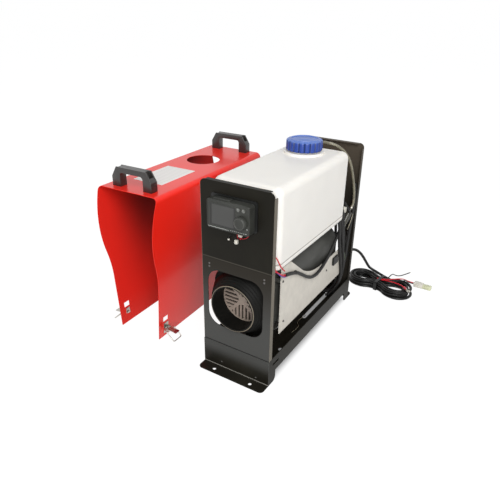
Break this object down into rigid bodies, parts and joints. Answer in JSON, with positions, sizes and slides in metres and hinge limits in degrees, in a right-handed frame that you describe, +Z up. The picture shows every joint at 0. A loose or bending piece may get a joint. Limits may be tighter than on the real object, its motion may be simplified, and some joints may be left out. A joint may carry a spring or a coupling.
{
  "type": "diesel air heater",
  "caption": "Portable diesel air heater: open black sheet-metal frame with fuel tank, blower heater, controller and coiled power lead; red lift-off cover stands beside it.",
  "frame": {"origin": "on the floor, at the centre of the four bolt holes in the feet of the frame", "axes": "+Z up, -Y towards the front with the warm-air outlet and the controller, +X to the right"},
  "size_m": [0.5871, 0.6423, 0.4172],
  "materials": {
    "frame_black": "semi-gloss black paint",
    "dark_screws": "blackened steel",
    "tank_white": "translucent white moulded plastic",
    "cap_blue": "blue plastic",
    "rubber_black": "soft black",
    "plastic_black": "black plastic",
    "hose_clear": "clear flexible tube",
    "filter_clear": "clear plastic",
    "pump_metal": "plated steel",
    "steel": "plain steel",
    "line_green": "thin plastic fuel line",
    "casing_grey": "dark grey moulded casing",
    "hood_black": "charcoal moulding",
    "grille_tan": "tan moulding",
    "cast_alloy": "cast, as-cast surface",
    "motor_metal": "plated can",
    "shield_beige": "beige sheet",
    "controller_black": "black plastic",
    "screen_grey": "dark grey display window",
    "button_grey": "grey plastic",
    "plug_white": "white nylon",
    "loom_black": "black sleeving",
    "lead_red": "red insulation",
    "cable_black": "black sheath",
    "terminal": "tinned crimp with pink sleeve",
    "cover_red": "glossy red powder coat",
    "handle_black": "black moulding",
    "latch_steel": "plated steel"
  },
  "bodies": {
    "frame": {"base_tray": "frame_black", "black_supply_wire": "cable_black", "blower_motor": "motor_metal", "burner_tube": "steel", "connector_wires": "lead_red", "control_unit": "plastic_black", "controller_bracket": "plastic_black", "controller_housing": "controller_black", "display_window": "screen_grey", "exhaust_pipe": "steel", "frame_fasteners": "dark_screws", "front_panel": "frame_black", "fuel_filter": "filter_clear", "fuel_hose": "hose_clear", "fuel_lines": "line_green", "fuel_pickup": "plastic_black", "fuel_pump": "pump_metal", "fuel_tank": "tank_white", "glow_plug": "steel", "hank_tie": "plastic_black", "harness_clip": "plastic_black", "harness_leads": "lead_red", "harness_loom": "loom_black", "heat_exchanger": "cast_alloy", "heater_lower_shell": "casing_grey", "heater_shield": "shield_beige", "heater_stand": "frame_black", "heater_upper_shell": "casing_grey", "intake_guard": "plastic_black", "intake_pipe": "cast_alloy", "lead_gland": "rubber_black", "outlet_grille": "grille_tan", "outlet_nozzle": "hood_black", "power_lead": "cable_black", "power_lead_hank": "cable_black", "pump_holder": "rubber_black", "rear_panel": "frame_black", "red_supply_wire": "lead_red", "ring_terminal": "terminal", "supply_connector": "plug_white", "tank_shelf": "frame_black", "wiring_plugs": "plug_white"},
    "cover": {"cover_shell": "cover_red", "carry_handles": "handle_black", "cover_screws": "dark_screws", "latch_bases": "latch_steel"},
    "latch_lever_left": {"latch_lever_left": "latch_steel"},
    "latch_bail_left": {"latch_bail_left": "latch_steel"},
    "latch_lever_right": {"latch_lever_right": "latch_steel"},
    "latch_bail_right": {"latch_bail_right": "latch_steel"},
    "cap_gasket": {"cap_seal": "rubber_black"},
    "tank_cap": {"tank_cap": "cap_blue"},
    "encoder_shaft": {"encoder_shaft": "steel"},
    "menu_knob": {"menu_knob": "controller_black"},
    "power_button": {"power_button": "button_grey"},
    "set_button": {"set_button": "button_grey"},
    "blower_rotor": {"motor_shaft": "steel", "air_fan": "plastic_black", "combustion_fan": "cast_alloy"},
    "pump_plunger": {"pump_plunger": "steel"}
  },
  "joints": [
    {"name": "cover_lift", "type": "slide", "parent": "frame", "child": "cover", "axis": [0, 0, 1], "range_m": [0, 0.42]},
    {"name": "latch_lever_left_turn", "type": "hinge", "parent": "cover", "child": "latch_lever_left", "pos_m": [-0.31567, -0.17893, 0.01959], "axis": [-0.0314, 0.9995, 0], "range_deg": [0, 80]},
    {"name": "latch_bail_left_turn", "type": "hinge", "parent": "latch_lever_left", "child": "latch_bail_left", "pos_m": [-0.32265, -0.17915, 0.0191], "axis": [-0.0314, 0.9995, 0], "range_deg": [0, 55]},
    {"name": "latch_lever_right_turn", "type": "hinge", "parent": "cover", "child": "latch_lever_right", "pos_m": [-0.1936, -0.1751, 0.01959], "axis": [0.0314, -0.9995, 0], "range_deg": [0, 80]},
    {"name": "latch_bail_right_turn", "type": "hinge", "parent": "latch_lever_right", "child": "latch_bail_right", "pos_m": [-0.18662, -0.17488, 0.0191], "axis": [0.0314, -0.9995, 0], "range_deg": [0, 55]},
    {"name": "cap_lift", "type": "slide", "parent": "frame", "child": "cap_gasket", "axis": [0, 0, 1], "range_m": [0, 0.012]},
    {"name": "cap_turn", "type": "hinge", "parent": "cap_gasket", "child": "tank_cap", "pos_m": [-0.006, 0.064, 0.4], "axis": [0, 0, 1], "range_deg": [0, 540]},
    {"name": "knob_push", "type": "slide", "parent": "frame", "child": "encoder_shaft", "axis": [0, 1, 0], "range_m": [0, 0.0008], "stiffness_N_per_m": 500},
    {"name": "knob_turn", "type": "hinge", "parent": "encoder_shaft", "child": "menu_knob", "pos_m": [0.024, -0.2215, 0.3355], "axis": [0, 1, 0], "continuous": true},
    {"name": "power_button_press", "type": "slide", "parent": "frame", "child": "power_button", "axis": [0, 1, 0], "range_m": [0, 0.0008], "stiffness_N_per_m": 400},
    {"name": "set_button_press", "type": "slide", "parent": "frame", "child": "set_button", "axis": [0, 1, 0], "range_m": [0, 0.0008], "stiffness_N_per_m": 400},
    {"name": "blower_spin", "type": "hinge", "parent": "frame", "child": "blower_rotor", "pos_m": [-0.003, 0.064, 0.152], "axis": [0, 1, 0], "continuous": true},
    {"name": "pump_stroke", "type": "slide", "parent": "frame", "child": "pump_plunger", "axis": [0.9672, 0, 0.2539], "range_m": [0, 0.003], "stiffness_N_per_m": 600}
  ],
  "couplings": [
    {"joint": "cap_lift", "follows": "cap_turn", "m_per_rad": 0.0012732}
  ]
}
